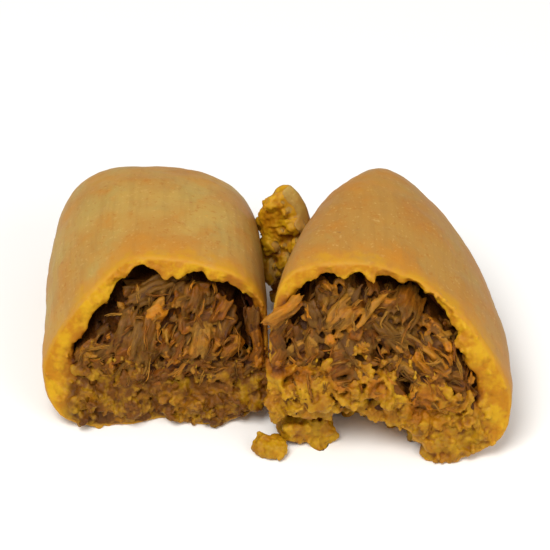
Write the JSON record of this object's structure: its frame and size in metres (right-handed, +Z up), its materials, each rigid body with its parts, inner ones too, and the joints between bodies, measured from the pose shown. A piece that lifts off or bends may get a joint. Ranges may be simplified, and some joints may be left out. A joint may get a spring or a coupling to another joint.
{
  "type": "tamale",
  "caption": "Tamale out of its husk, broken across the middle and opened so that both halves show shredded beef inside a corn dough crust.",
  "frame": {"origin": "bottom centre of the box around both halves, on the surface they lie on", "axes": "+X to the viewer's right, from the blunt half to the tapered half; -Y towards the viewer, out of the broken ends; +Z up"},
  "size_m": [0.096, 0.0722, 0.0398],
  "materials": {
    "corn_dough": "soft satin",
    "torn_corn_dough": "rough, crumbly",
    "shredded_beef": "moist"
  },
  "bodies": {
    "root": {"crust_blunt_half": "corn_dough", "beef_blunt_half": "shredded_beef", "crust_tapered_half": "corn_dough", "beef_tapered_half": "shredded_beef", "torn_crust_strip": "torn_corn_dough", "dough_lump_wide": "torn_corn_dough", "dough_lump_small": "torn_corn_dough"}
  },
  "joints": []
}
